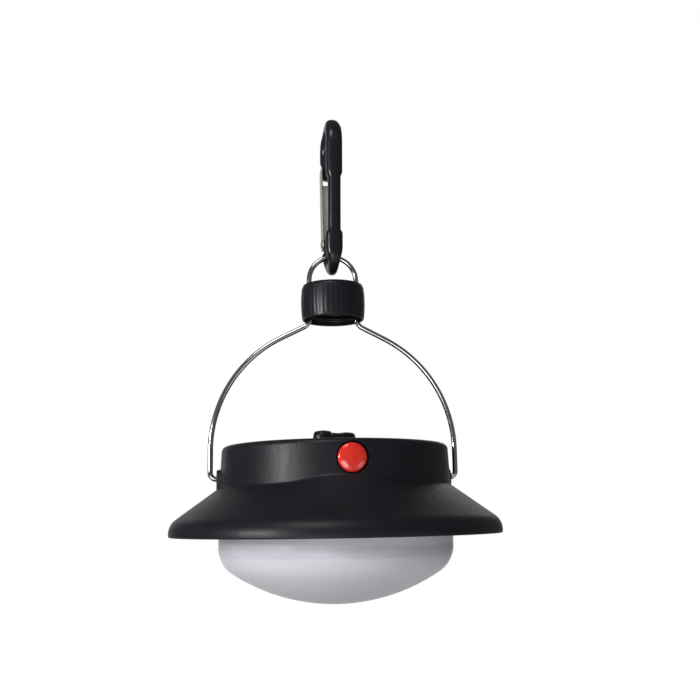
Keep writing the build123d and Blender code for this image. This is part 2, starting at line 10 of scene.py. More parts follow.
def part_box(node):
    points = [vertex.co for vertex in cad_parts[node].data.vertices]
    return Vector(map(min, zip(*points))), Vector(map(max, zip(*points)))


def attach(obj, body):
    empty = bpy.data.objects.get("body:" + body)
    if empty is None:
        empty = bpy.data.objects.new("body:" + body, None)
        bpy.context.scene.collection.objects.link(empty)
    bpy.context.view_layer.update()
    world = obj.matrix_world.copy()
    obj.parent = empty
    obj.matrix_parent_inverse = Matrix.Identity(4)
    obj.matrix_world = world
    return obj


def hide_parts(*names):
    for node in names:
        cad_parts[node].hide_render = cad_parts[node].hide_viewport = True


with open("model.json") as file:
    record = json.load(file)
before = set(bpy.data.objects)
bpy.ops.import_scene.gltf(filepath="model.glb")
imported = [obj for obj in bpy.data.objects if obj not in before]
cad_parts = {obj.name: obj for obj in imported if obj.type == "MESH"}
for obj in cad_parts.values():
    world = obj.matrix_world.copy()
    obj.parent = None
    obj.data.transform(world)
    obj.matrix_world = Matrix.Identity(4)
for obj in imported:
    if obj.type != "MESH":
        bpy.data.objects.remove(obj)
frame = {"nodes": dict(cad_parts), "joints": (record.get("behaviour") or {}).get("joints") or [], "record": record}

MM = 0.001
TURN = 2.0 * math.pi
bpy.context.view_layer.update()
nodes = frame["nodes"]
joints = {joint["name"]: joint for joint in frame["joints"]}


def place_of(node):
    """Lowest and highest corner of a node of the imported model, in millimetres."""
    low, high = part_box(node)
    return np.array(low) / MM, np.array(high) / MM


# ---- Sizes in millimetres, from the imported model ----
shade_low, shade_high = place_of("shade_housing")
lens_low, lens_high = place_of("lens")
wire_low, wire_high = place_of("bail_wire")
cap_low, cap_high = place_of("ring_cap")
hook_low, hook_high = place_of("carabiner_body")
button_low, button_high = place_of("power_button")
cover_low, cover_high = place_of("battery_cover")
grip_low, grip_high = place_of("cover_grip")
bail_pivot_z = joints["bail_pivot"]["pos_m"][2] / MM
loop_top_z = joints["hook_swing"]["pos_m"][2] / MM
gate_pivot = np.array(joints["gate_hinge"]["pos_m"][1:]) / MM

# ---- Shape of the shade and neck ----
RIM_RADIUS = shade_high[0]
RIM_Z = shade_low[2]
NECK_TOP_Z = shade_high[2]
SHELL_WALL = 2.0
SHADE_SLOPE = math.tan(math.radians(35.7))
JUNCTION_RADIUS = 54.0
JUNCTION_Z = 53.2
NECK_TOP_RADIUS = 53.0
SHADE_ROUND = 8.0
NECK_ROUND = 2.5
RIM_ROUND = 0.8
JUNCTION_ROUND = 1.4
STEP_ROUND = 0.3
HOUSING_SIDES = 288
SWELL_HEIGHT = 3.7
SWELL_HALF_WIDTH = 19.0
SWELL_FADE_WIDTH = 2.2 * SWELL_HALF_WIDTH
SWELL_REACH = 15.0
SWELL_NECK_REACH = 12.0
SWELL_SKIN = 1.2
SKIRT_INNER = 54.6
SKIRT_OUTER = 56.4
SKIRT_Z = 41.0
SEAT_Z = 46.5
LEDGE_Z = 52.0
LEDGE_RADIUS = 49.1
INNER_RADIUS = 51.0
OPENING_RADIUS = 45.5

# ---- Lens ----
LENS_STRAIGHT_Z = lens_low[2] + 26.0
LENS_KNUCKLE = 14.0
LENS_WALL = 1.8
LENS_SIDES = 192

# ---- Button ----
BUTTON_RADIUS = 6.35
BUTTON_HOLE = 6.95
BUTTON_DEPTH = 2.5
BUTTON_EDGE = 1.3
BUTTON_Z = (button_low[2] + button_high[2]) / 2
BUTTON_FACE_Y = button_low[1]

# ---- Battery cover and its grip ----
COVER_RADIUS = 45.2
COVER_SIDES = 288
COVER_SKIRT_OUTER = 43.8
COVER_SKIRT_INNER = 42.3
COVER_DISH = 1.0
COVER_DISH_RADIUS = 40.0
COVER_PAD_RADIUS = 12.0
COVER_PAD_SINK = 0.6
COVER_FLUTES = 36
COVER_FLUTE_DEPTH = 0.16
GRIP_SPAN = 8.5
GRIP_END_RADIUS = 4.5
GRIP_HALF_WAIST = 2.8
GRIP_WAIST_SINK = 0.6
GRIP_HEADING = math.radians(40.0)
GRIP_SQUARENESS = 5.0

# ---- Bail and ring cap ----
WIRE_RADIUS = (wire_high[1] - wire_low[1]) / 2
BAIL_HALF_WIDTH = wire_high[0] - WIRE_RADIUS
BAIL_ARC_Z = 70.4
BAIL_ARC_RADIUS = 60.0
SHOULDER_SLOPE = math.radians(26.6)
FOOT_BEND = 2.8
FOOT_REACH = 49.5
LEG_OFFSET = 11.5
LEG_BEND = 5.0
EAR_RADIUS = 4.2
EAR_DROP = 2.1 * EAR_RADIUS
EAR_SIDES = 72
EAR_FLARE = 1.5
EAR_FACE_ROUND = 0.8
EAR_FACE = BAIL_HALF_WIDTH - FOOT_BEND - 0.1
CAP_RADIUS = cap_high[0]
CAP_LOW_Z = cap_low[2]
CAP_TOP_Z = cap_high[2]
CAP_RIBS = 40
CAP_RIB_DEPTH = 0.11
CAP_BELLY = 0.6
CAP_WALL = 2.0
CAP_BORE = 13.8
THREAD_PITCH = 3.4
THREAD_DEPTH = 0.8

# ---- Snap hook ----
HOOK_TOP_RADIUS = hook_high[1]
HOOK_FOOT_RADIUS = 10.5
HOOK_WIDTH = 6.4
HOOK_THICKNESS = 6.3
HOOK_HEAD_THICKNESS = 8.0
HOOK_SOLE_THICKNESS = 4.8
HOOK_FOOT_THICKNESS = hook_high[0] - hook_low[0]
HOOK_HEAD_Z = 202.0
HOOK_TOP_CENTER_Z = hook_high[2] - HOOK_TOP_RADIUS
HOOK_FOOT_CENTER_Z = hook_low[2] + HOOK_FOOT_RADIUS
NOSE_REACH = 34.5
GATE_LENGTH = 40.5
GATE_SHEET = 0.6
CHEEK_PLAY = 0.2
GATE_OUT = HOOK_WIDTH / 2 + 0.25 + GATE_SHEET
GATE_DEPTH = 8.0
HOOK_FOOT_HEIGHT = 20.4
HOOK_CROWN_THINNING = 1.6
NOSE_BLUNT = 1.6
RIVET_RADIUS = 1.2
RIVET_HEAD = 2.3
RIVET_HEAD_EDGE = 0.35
RIVET_HEAD_HEIGHT = 0.8
SEAT_GAP = 0.4


# ---- Mesh helpers ----
def grid_faces(rows, columns, wrap_rows=False, wrap_columns=False):
    """Quads of a rows by columns grid; a wrapped side joins its last line to its first."""
    row = np.arange(rows if wrap_rows else rows - 1)
    column = np.arange(columns if wrap_columns else columns - 1)
    i, j = np.meshgrid(row, column, indexing="ij")
    i_next = (i + 1) % rows
    j_next = (j + 1) % columns
    corners = [i * columns + j, i * columns + j_next, i_next * columns + j_next, i_next * columns + j]
    return np.stack(corners, axis=-1).reshape(-1, 4)


def piece(name, parts, sharp=None):
    """A mesh object from (points, faces) parts in millimetres: welded, closed and facing outwards."""
    points = []
    faces = []
    start = 0
    for part_points, part_faces in parts:
        points.append(part_points.reshape(-1, 3))
        faces.append(part_faces + start)
        start += len(points[-1])
    mesh = bpy.data.meshes.new(name)
    mesh.from_pydata((np.concatenate(points) * MM).tolist(), [], np.concatenate(faces).tolist())
    work = bmesh.new()
    work.from_mesh(mesh)
    bmesh.ops.remove_doubles(work, verts=work.verts, dist=1e-6)
    bmesh.ops.dissolve_degenerate(work, edges=work.edges, dist=1e-7)
    bmesh.ops.recalc_face_normals(work, faces=work.faces)
    work.to_mesh(mesh)
    work.free()
    mesh.shade_smooth()
    if sharp is not None:
        mesh.set_sharp_from_angle(angle=math.radians(sharp))
    made = bpy.data.objects.new(name, mesh)
    bpy.context.scene.collection.objects.link(made)
    return made


def rounded(corners, step=0.8, closed=False):
    """A line through (a, b, radius) corners: even straight runs, and each corner an arc of its radius."""
    count = len(corners)
    xy = np.array([corner[:2] for corner in corners], float)
    line = []
    for index in range(count):
        radius = corners[index][2]
        if not closed and index in (0, count - 1):
            line.append(xy[index : index + 1])
            continue
        before = xy[index - 1] - xy[index]
        after = xy[(index + 1) % count] - xy[index]
        before /= np.linalg.norm(before)
        after /= np.linalg.norm(after)
        opening = math.acos(np.clip(before @ after, -1, 1))
        if radius <= 0:
            line.append(xy[index : index + 1])
            continue
        set_back = radius / math.tan(opening / 2)
        bisector = (before + after) / np.linalg.norm(before + after)
        center = xy[index] + bisector * radius / math.sin(opening / 2)
        first = xy[index] + before * set_back - center
        last = xy[index] + after * set_back - center
        swing = math.atan2(first[0] * last[1] - first[1] * last[0], first @ last)
        turns = np.linspace(0, swing, max(3, int(abs(swing) * 10) + 2))
        arc_x = center[0] + first[0] * np.cos(turns) - first[1] * np.sin(turns)
        arc_y = center[1] + first[0] * np.sin(turns) + first[1] * np.cos(turns)
        line.append(np.stack([arc_x, arc_y], axis=-1))
    points = np.concatenate(line)
    if closed:
        points = np.vstack([points, points[:1]])
    return divided(points, step, closed)


def divided(points, step, closed):
    """The same line with every run longer than the step cut into equal lengths."""
    pieces = []
    for start, end in zip(points[:-1], points[1:]):
        cuts = max(1, int(np.ceil(np.linalg.norm(end - start) / step)))
        pieces.append(start + (end - start) * np.linspace(0, 1, cuts, endpoint=False)[:, None])
    if not closed:
        pieces.append(points[-1:])
    return np.concatenate(pieces)


def lathe(profile, sides, closed=False, reshape=None):
    """Surface of revolution about Z: each (radius, height) goes round by the angle, (r cos, r sin, z)."""
    angle = np.arange(sides) * TURN / sides
    radius = np.repeat(profile[:, :1], sides, axis=1)
    height = np.repeat(profile[:, 1:2], sides, axis=1)
    angles = np.repeat(angle[None, :], len(profile), axis=0)
    if reshape is not None:
        radius, height = reshape(radius, height, angles)
    points = np.stack([radius * np.cos(angles), radius * np.sin(angles), height], axis=-1)
    return points, grid_faces(len(profile), sides, wrap_rows=closed, wrap_columns=True)


def turned_to(part, axis, origin=(0.0, 0.0, 0.0)):
    """A lathe part whose Z axis is laid along X, -X or -Y, then moved to an origin."""
    points, faces = part
    x, y, z = points[..., 0], points[..., 1], points[..., 2]
    if axis == "x":
        laid = np.stack([z, x, y], axis=-1)
    elif axis == "-x":
        laid = np.stack([-z, -x, y], axis=-1)
    else:
        laid = np.stack([x, -z, y], axis=-1)
    return laid + np.array(origin), faces


def swept(path, normals, across, section, scales, wrap=False):
    """A section carried along a path: point + across * section x + normal * section y, each scaled."""
    offsets_a = section[None, :, 0] * scales[:, :1]
    offsets_b = section[None, :, 1] * scales[:, 1:2]
    points = path[:, None, :] + offsets_a[..., None] * across[:, None, :]
    points = points + offsets_b[..., None] * normals[:, None, :]
    return points, grid_faces(len(path), len(section), wrap_rows=wrap, wrap_columns=True)


def directions(line):
    """Unit steps along a line of points."""
    steps = np.gradient(line, axis=0)
    return steps / np.linalg.norm(steps, axis=1)[:, None]


def smooth_step(low, high, value):
    """Rises smoothly from 0 at low to 1 at high."""
    share = np.clip((value - low) / (high - low), 0, 1)
    return share * share * (3 - 2 * share)


def superellipse(half_a, half_b, power, count):
    """A rounded rectangle outline: cos and sin raised to 2 over the power, keeping their signs."""
    angle = np.arange(count) * TURN / count
    a = np.sign(np.cos(angle)) * np.abs(np.cos(angle)) ** (2 / power)
    b = np.sign(np.sin(angle)) * np.abs(np.sin(angle)) ** (2 / power)
    return np.stack([half_a * a, half_b * b], axis=-1)


# ---- Lamp housing ----
def swell(radius, height, angles):
    """Lifts the shade's crown and the neck's foot below the button, by a flat-topped bell in the angle."""
    sideways = JUNCTION_RADIUS * np.abs(np.angle(np.exp(1j * (angles + TURN / 4))))
    bell = 1 / (1 + (sideways / SWELL_HALF_WIDTH) ** 4)
    bell *= 1 - smooth_step(SWELL_HALF_WIDTH, SWELL_FADE_WIDTH, sideways)
    on_cone = np.clip(1 - (radius - JUNCTION_RADIUS) / SWELL_REACH, 0, 1) ** 1.6
    on_neck = np.clip(1 - (height - JUNCTION_Z) / SWELL_NECK_REACH, 0, 1)
    outside = (radius > NECK_TOP_RADIUS - 0.2) & (height > JUNCTION_Z - SWELL_REACH)
    cone_line = JUNCTION_Z - (radius - JUNCTION_RADIUS) * SHADE_SLOPE
    near_skin = height > cone_line - SWELL_SKIN
    share = np.where(height > JUNCTION_Z, on_neck, on_cone) * (outside & near_skin)
    return radius, height + SWELL_HEIGHT * bell * share


def housing_profile():
    """The moulding's closed section: up the outside, over the deck, down inside and out under the shade."""
    rim_inner = RIM_RADIUS - SHELL_WALL
    corner_z = JUNCTION_Z - (RIM_RADIUS - JUNCTION_RADIUS) * SHADE_SLOPE
    drop = SHELL_WALL * math.sqrt(1 + SHADE_SLOPE ** 2)
    rim_inner_z = JUNCTION_Z - (rim_inner - JUNCTION_RADIUS) * SHADE_SLOPE - drop
    skirt_top_z = JUNCTION_Z - (SKIRT_OUTER - JUNCTION_RADIUS) * SHADE_SLOPE - drop
    deck_z = NECK_TOP_Z - SHELL_WALL
    return rounded(
        [
            (RIM_RADIUS, RIM_Z, RIM_ROUND),
            (RIM_RADIUS, corner_z, SHADE_ROUND),
            (JUNCTION_RADIUS, JUNCTION_Z, JUNCTION_ROUND),
            (NECK_TOP_RADIUS, NECK_TOP_Z, NECK_ROUND),
            (OPENING_RADIUS, NECK_TOP_Z, 0.35),
            (OPENING_RADIUS, deck_z, STEP_ROUND),
            (INNER_RADIUS, deck_z, 0.5),
            (INNER_RADIUS, LEDGE_Z, STEP_ROUND),
            (LEDGE_RADIUS, LEDGE_Z, STEP_ROUND),
            (LEDGE_RADIUS, SEAT_Z, STEP_ROUND),
            (SKIRT_INNER, SEAT_Z, STEP_ROUND),
            (SKIRT_INNER, SKIRT_Z, 0.4),
            (SKIRT_OUTER, SKIRT_Z, 0.4),
            (SKIRT_OUTER, skirt_top_z, RIM_ROUND),
            (rim_inner, rim_inner_z, SHADE_ROUND - SHELL_WALL),
            (rim_inner, RIM_Z, RIM_ROUND),
        ],
        step=1.3,
        closed=True,
    )


def make_housing():
    """The shade and neck with the button's hole cut through the front."""
    body = piece("shade_shell", [lathe(housing_profile(), HOUSING_SIDES, closed=True, reshape=swell)])
    inset = 8.0
    cutter_line = np.array([(0, 0), (BUTTON_HOLE, 0), (BUTTON_HOLE, 2 * inset), (0, 2 * inset)], float)
    start = (0, -JUNCTION_RADIUS + inset, BUTTON_Z)
    cutter = piece("hole_cutter", [turned_to(lathe(cutter_line, 96), "-y", start)], sharp=40)
    cut = body.modifiers.new("button_hole", "BOOLEAN")
    cut.operation = "DIFFERENCE"
    cut.solver = "EXACT"
    cut.object = cutter
    apply_modifiers(body)
    bpy.data.objects.remove(cutter)
    body.data.shade_smooth()
    body.data.set_sharp_from_angle(angle=math.radians(38))
    return body


def apply_modifiers(made):
    """Replaces a piece's mesh with the one its modifiers give."""
    depsgraph = bpy.context.evaluated_depsgraph_get()
    result = bpy.data.meshes.new_from_object(made.evaluated_get(depsgraph))
    made.modifiers.clear()
    made.data = result


def make_ears():
    """Ears for the wire's feet: a D-shaped outline lofted out of the neck, flared at its root."""
    angle = np.arange(EAR_SIDES) * TURN / EAR_SIDES
    outline_y = EAR_RADIUS * np.cos(angle)
    outline_z = np.where(np.sin(angle) > 0, EAR_RADIUS, EAR_DROP) * np.sin(angle)
    root_share = 0.8
    face_turn = np.linspace(0, TURN / 4, 9)
    straight = np.linspace(0, root_share, 14, endpoint=False)
    out = np.concatenate([straight, root_share + (1 - root_share) * np.sin(face_turn)])
    face_round = np.concatenate([0 * straight, 1 - np.cos(face_turn)])
    grow = 1 + (EAR_FLARE * (1 - out) ** 3 - EAR_FACE_ROUND * face_round) / EAR_RADIUS
    grow = np.append(grow, [0.5, 0.0])
    out = np.append(out, [1.0, 1.0])
    root = INNER_RADIUS + 1.2
    parts = []
    for side in (-1, 1):
        x = side * (root + (EAR_FACE - root) * out)[:, None] + 0 * outline_y[None, :]
        y = grow[:, None] * outline_y[None, :]
        z = bail_pivot_z + grow[:, None] * outline_z[None, :]
        loft = np.stack([x, y, z], axis=-1)
        parts.append((loft, grid_faces(len(out), EAR_SIDES, wrap_columns=True)))
        hub = np.repeat(loft[0].mean(axis=0)[None, :], EAR_SIDES, axis=0)
        parts.append((np.stack([hub, loft[0]]), grid_faces(2, EAR_SIDES, wrap_columns=True)))
    return piece("bail_ears", parts)


# ---- Lens ----
def lens_outline(radius, knuckle, bottom, top):
    """Down a straight wall, round a knuckle arc and along a crown arc tangent to it, to the axis."""
    depth = LENS_STRAIGHT_Z - bottom
    crown = ((radius - knuckle) ** 2 + depth ** 2 - knuckle ** 2) / (2 * (depth - knuckle))
    share = math.asin((radius - knuckle) / (crown - knuckle))
    wall = np.stack([np.full(12, radius), np.linspace(top, LENS_STRAIGHT_Z, 12, endpoint=False)], axis=-1)
    bend = np.linspace(0, TURN / 4 - share, 26, endpoint=False)
    bend_radius = radius - knuckle + knuckle * np.cos(bend)
    knuckle_line = np.stack([bend_radius, LENS_STRAIGHT_Z - knuckle * np.sin(bend)], axis=-1)
    fan = np.linspace(share, 0, 48)
    crown_line = np.stack([crown * np.sin(fan), bottom + crown - crown * np.cos(fan)], axis=-1)
    return np.concatenate([wall, knuckle_line, crown_line])


def make_lens():
    """The frosted bowl: its outer outline, then its inner one back up to the top edge."""
    radius = lens_high[0]
    outer = lens_outline(radius, LENS_KNUCKLE, lens_low[2], lens_high[2])
    inner_bottom = lens_low[2] + LENS_WALL
    inner = lens_outline(radius - LENS_WALL, LENS_KNUCKLE - LENS_WALL, inner_bottom, lens_high[2])
    edge = np.array([outer[0], inner[0]])
    return piece("lens_bowl", [lathe(line, LENS_SIDES) for line in (outer, inner, edge)], sharp=50)


# ---- Button ----
def make_button():
    """Domed cap on a straight skirt, with a soft edge, lying along -Y."""
    back_y = INNER_RADIUS - BUTTON_DEPTH
    face = -BUTTON_FACE_Y
    profile = rounded(
        [
            (0, back_y, 0),
            (BUTTON_RADIUS, back_y, 0.2),
            (BUTTON_RADIUS, face - BUTTON_EDGE, 1.5),
            (BUTTON_RADIUS * 0.62, face - 0.35, 7.0),
            (0, face, 0),
        ],
        step=0.4,
    )
    profile[-1] = (0, profile[-2][1])
    return piece("button_cap", [turned_to(lathe(profile, 96), "-y", (0, 0, BUTTON_Z))], sharp=60)


# ---- Battery cover ----
def make_cover():
    """Cover disc: a raised rim, a shallow dish with radial flutes and a centre pad, over its skirt."""
    top = cover_high[2]
    deck = top - SHELL_WALL
    skirt_z = cover_low[2]
    profile = rounded(
        [
            (0, top - COVER_PAD_SINK, 0),
            (COVER_PAD_RADIUS, top - COVER_PAD_SINK, 1.0),
            (COVER_PAD_RADIUS + 2.5, top - COVER_DISH, 1.0),
            (COVER_DISH_RADIUS, top - COVER_DISH, 1.0),
            (COVER_DISH_RADIUS + 1.0, top, 0.4),
            (COVER_RADIUS, top, 0.5),
            (COVER_RADIUS, deck, 0.2),
            (COVER_SKIRT_OUTER, deck, 0.1),
            (COVER_SKIRT_OUTER, skirt_z, 0.2),
            (COVER_SKIRT_INNER, skirt_z, 0.2),
            (COVER_SKIRT_INNER, deck, 0.2),
            (0, deck, 0),
        ],
        step=1.0,
    )

    def fluted(radius, height, angles):
        """Shallow radial flutes on the dished band, strongest in its middle."""
        band = smooth_step(17, 20, radius) * (1 - smooth_step(35, 38, radius))
        band *= height > top - COVER_DISH - 0.2
        return radius, height + COVER_FLUTE_DEPTH * band * np.cos(COVER_FLUTES * angles)

    return piece("cover_disc", [lathe(profile, COVER_SIDES, reshape=fluted)], sharp=35)


def make_grip():
    """Finger grip: a bar whose half width swells into a round lump at each end, domed on top."""
    along = -np.cos(np.linspace(0, TURN / 2, 65)) * (GRIP_SPAN + GRIP_END_RADIUS)
    out = np.abs(along)
    past = out - GRIP_SPAN
    lump = np.sqrt(np.clip(GRIP_END_RADIUS ** 2 - past ** 2, 0, None))
    swelling = smooth_step(3.0, GRIP_SPAN - 0.6, out)
    waist = GRIP_HALF_WAIST + (GRIP_END_RADIUS - GRIP_HALF_WAIST) * swelling
    half = np.where(past > 0, lump, waist)
    tall = grip_high[2] - grip_low[2]
    height = tall - GRIP_WAIST_SINK * (1 - smooth_step(4.0, GRIP_SPAN - 2.5, out))
    height = height - 0.35 * tall * np.clip(past / GRIP_END_RADIUS, 0, 1) ** 4
    around = np.linspace(0, TURN / 2, 33)
    across = np.sign(np.cos(around)) * np.abs(np.cos(around)) ** (2 / GRIP_SQUARENESS)
    up = np.abs(np.sin(around)) ** (2 / GRIP_SQUARENESS)
    sink = 1.0
    x = along[:, None] + 0 * across[None, :]
    y = half[:, None] * across[None, :]
    z = grip_low[2] - sink + (height[:, None] + sink) * up[None, :]
    turned_x = x * math.cos(GRIP_HEADING) - y * math.sin(GRIP_HEADING)
    turned_y = x * math.sin(GRIP_HEADING) + y * math.cos(GRIP_HEADING)
    points = np.stack([turned_x, turned_y, z], axis=-1)
    return piece("grip_bar", [(points, grid_faces(len(along), len(around), wrap_columns=True))])


# ---- Bail ----
def arc_line(center, radius, turns):
    """Points at the given turns round a centre, in the plane of the line."""
    return np.stack([center[0] + radius * np.cos(turns), center[1] + radius * np.sin(turns)], axis=-1)


def bail_path():
    """The wire's line in the XZ plane: one half from the foot's end to the loop's top, then its mirror."""
    rise = TURN / 4 - SHOULDER_SLOPE
    arc_x = BAIL_HALF_WIDTH - BAIL_ARC_RADIUS
    arc_end_x = arc_x + BAIL_ARC_RADIUS * math.cos(rise)
    arc_end_z = BAIL_ARC_Z + BAIL_ARC_RADIUS * math.sin(rise)
    corner_z = arc_end_z + (arc_end_x - LEG_OFFSET) * math.tan(SHOULDER_SLOPE)
    set_back = LEG_BEND * math.tan(rise / 2)
    knee_x = BAIL_HALF_WIDTH - FOOT_BEND
    runs = [
        np.array([(FOOT_REACH, bail_pivot_z), (knee_x, bail_pivot_z)]),
        arc_line((knee_x, bail_pivot_z + FOOT_BEND), FOOT_BEND, np.linspace(-TURN / 4, 0, 10)),
        arc_line((arc_x, BAIL_ARC_Z), BAIL_ARC_RADIUS, np.linspace(0, rise, 90)),
        arc_line(
            (LEG_OFFSET + LEG_BEND, corner_z + set_back),
            LEG_BEND,
            np.linspace(rise - TURN / 2, -TURN / 2, 14),
        ),
        arc_line((0, loop_top_z - LEG_OFFSET), LEG_OFFSET, np.linspace(0, TURN / 4, 30)),
    ]
    line = np.concatenate(runs)
    keep = np.append(True, np.linalg.norm(np.diff(line, axis=0), axis=1) > 1e-6)
    line = divided(line[keep], 1.2, False)
    mirrored = line[::-1][1:] * np.array([-1, 1])
    return np.concatenate([line, mirrored])


def make_bail():
    """A round section carried along the wire's line, with domed ends."""
    line = bail_path()
    steps = directions(line)
    dome = np.linspace(0, TURN / 4, 7)[1:]
    reach = WIRE_RADIUS * np.sin(dome)
    first = line[0] - steps[0] * reach[::-1, None]
    last = line[-1] + steps[-1] * reach[:, None]
    scale = np.concatenate([np.cos(dome)[::-1], np.ones(len(line)), np.cos(dome)])
    line = np.concatenate([first, line, last])
    end_steps = [np.repeat(step[None, :], len(dome), axis=0) for step in (steps[0], steps[-1])]
    steps = np.concatenate([end_steps[0], steps, end_steps[1]])
    zero = np.zeros(len(line))
    path = np.stack([line[:, 0], zero, line[:, 1]], axis=-1)
    normals = np.stack([-steps[:, 1], zero, steps[:, 0]], axis=-1)
    across = np.stack([zero, zero + 1, zero], axis=-1)
    section = arc_line((0, 0), WIRE_RADIUS, np.arange(28) * TURN / 28)
    scales = np.stack([scale, scale], axis=-1)
    return piece("bail_rod", [swept(path, normals, across, section, scales)])


# ---- Ring cap ----
def make_ring_cap():
    """Bottle-style cap: fluted wall with a rounded crown, open below, and a helical thread inside."""
    wall_top = CAP_TOP_Z - CAP_WALL
    profile = rounded(
        [
            (0, CAP_TOP_Z, 0),
            (CAP_RADIUS, CAP_TOP_Z, 1.9),
            (CAP_RADIUS, CAP_LOW_Z, 0.5),
            (CAP_BORE, CAP_LOW_Z, 0.5),
            (CAP_BORE, wall_top, 0.8),
            (0, wall_top, 0),
        ],
        step=0.35,
    )

    def fluted_and_threaded(radius, height, angles):
        """Outside, the wall sinks between ribs that fade at both ends; inside, a ridge climbs each turn."""
        rib = np.abs(np.cos(CAP_RIBS / 2 * angles)) ** 0.8
        zone = smooth_step(CAP_LOW_Z + 0.7, CAP_LOW_Z + 1.8, height)
        zone *= 1 - smooth_step(CAP_TOP_Z - 2.2, CAP_TOP_Z - 0.7, height)
        outside = radius > CAP_RADIUS - 0.9
        from_middle = (2 * height - CAP_LOW_Z - CAP_TOP_Z) / (CAP_TOP_Z - CAP_LOW_Z)
        belly = CAP_BELLY * from_middle ** 2
        radius = radius - outside * (CAP_RIB_DEPTH * zone * (1 - rib) + belly)
        phase = (height - CAP_LOW_Z - 2.6) / THREAD_PITCH - angles / TURN
        nearest = (phase - np.round(phase)) * THREAD_PITCH
        ridge = THREAD_DEPTH * np.exp(-((nearest / 0.75) ** 4))
        run = smooth_step(CAP_LOW_Z + 1.2, CAP_LOW_Z + 3.2, height)
        run *= 1 - smooth_step(CAP_LOW_Z + 10, CAP_LOW_Z + 12, height)
        bore = (radius > CAP_BORE - 0.4) & (radius < CAP_BORE + 0.2)
        return radius - bore * ridge * run, height

    return piece("threaded_cap", [lathe(profile, 10 * CAP_RIBS, reshape=fluted_and_threaded)], sharp=50)


# ---- Snap hook ----
def hook_path():
    """The hook's middle line in the YZ plane, foot to spine to nose, and the way its gate side runs."""
    foot = HOOK_FOOT_RADIUS - HOOK_WIDTH / 2
    top = HOOK_TOP_RADIUS - HOOK_WIDTH / 2
    lean = math.asin((top - foot) / (HOOK_TOP_CENTER_Z - HOOK_FOOT_CENTER_Z))
    heading = np.array([math.sin(lean), math.cos(lean)])
    foot_start = np.array([foot * math.cos(lean), HOOK_FOOT_CENTER_Z - foot * math.sin(lean)])
    stub_along = (gate_pivot - foot_start) @ heading + HOOK_WIDTH / 2
    nose_end = foot_start + heading * (stub_along - HOOK_WIDTH / 2 + NOSE_REACH)
    foot_turn = np.linspace(-lean, -TURN / 2 + lean, 60)
    top_turn = np.linspace(TURN / 2 + lean, -lean, 60)
    runs = [
        (foot_start + heading * stub_along)[None, :],
        arc_line((0, HOOK_FOOT_CENTER_Z), foot, foot_turn),
        arc_line((0, HOOK_TOP_CENTER_Z), top, top_turn),
        nose_end[None, :],
    ]
    return divided(np.concatenate(runs), 0.8, False), heading


def make_hook():
    """A rounded flat section carried along the hook's line, thicker at foot and head, with a blunt nose."""
    line, _ = hook_path()
    steps = directions(line)
    length = np.append(0, np.cumsum(np.linalg.norm(np.diff(line, axis=0), axis=1)))
    left = length[-1] - length
    height = line[:, 1]
    spine = line[:, 0] < 0
    sole_z = hook_low[2]
    crown_z = hook_high[2]
    heel_z = gate_pivot[1] - GATE_OUT - SEAT_GAP
    tip_z = gate_pivot[1] + GATE_LENGTH + 0.8
    foot_top = np.where(spine, sole_z + HOOK_FOOT_HEIGHT, heel_z)
    head_low = np.where(spine, HOOK_HEAD_Z, tip_z)
    in_foot = 1 - smooth_step(foot_top - 2.0, foot_top, height)
    in_head = smooth_step(head_low, head_low + 3.0, height)
    in_sole = 1 - smooth_step(sole_z + 2, sole_z + 12, height)
    in_crown = smooth_step(crown_z - 9, crown_z - 3, height)
    foot = (HOOK_FOOT_THICKNESS - HOOK_THICKNESS) * in_foot
    head = (HOOK_HEAD_THICKNESS - HOOK_THICKNESS) * in_head
    sole = (HOOK_FOOT_THICKNESS - HOOK_SOLE_THICKNESS) * in_sole
    thick = 1 + (foot + head - sole - HOOK_CROWN_THINNING * in_crown) / HOOK_THICKNESS
    half = HOOK_WIDTH / 2
    round_end = np.sqrt(np.clip(1 - np.clip((half - length) / half, 0, 1) ** 2, 0, 1))
    nose_end = np.clip(1 - np.clip((NOSE_BLUNT - left) / NOSE_BLUNT, 0, 1) ** 2.4, 0, 1) ** 0.5
    nose = 0.12 + 0.88 * nose_end
    seat = 1 + 0.08 * np.exp(-((height - sole_z - 3) / 5.0) ** 2)
    in_plane = round_end * nose * seat
    through = thick * np.where(length < 0.02, 0.4, 1) * nose
    in_plane[-1] = 0
    through[-1] = 0
    zero = np.zeros(len(line))
    path = np.stack([zero, line[:, 0], line[:, 1]], axis=-1)
    normals = np.stack([zero, -steps[:, 1], steps[:, 0]], axis=-1)
    across = np.stack([zero + 1, zero, zero], axis=-1)
    section = superellipse(HOOK_THICKNESS / 2, half, 2.5, 64)
    scales = np.stack([through, in_plane], axis=-1)
    return piece("hook_body", [swept(path, normals, across, section, scales)], sharp=55)


def plate(outline, axis_x, thickness):
    """A flat plate from a (y, z) outline, from one x to that x plus its thickness."""
    count = len(outline)
    low = np.stack([np.full(count, axis_x), outline[:, 0], outline[:, 1]], axis=-1)
    high = low + np.array([thickness, 0, 0])
    hub_low = np.repeat(low.mean(axis=0)[None, :], count, axis=0)
    hub_high = np.repeat(high.mean(axis=0)[None, :], count, axis=0)
    return np.stack([hub_low, low, high, hub_high]), grid_faces(4, count, wrap_columns=True)


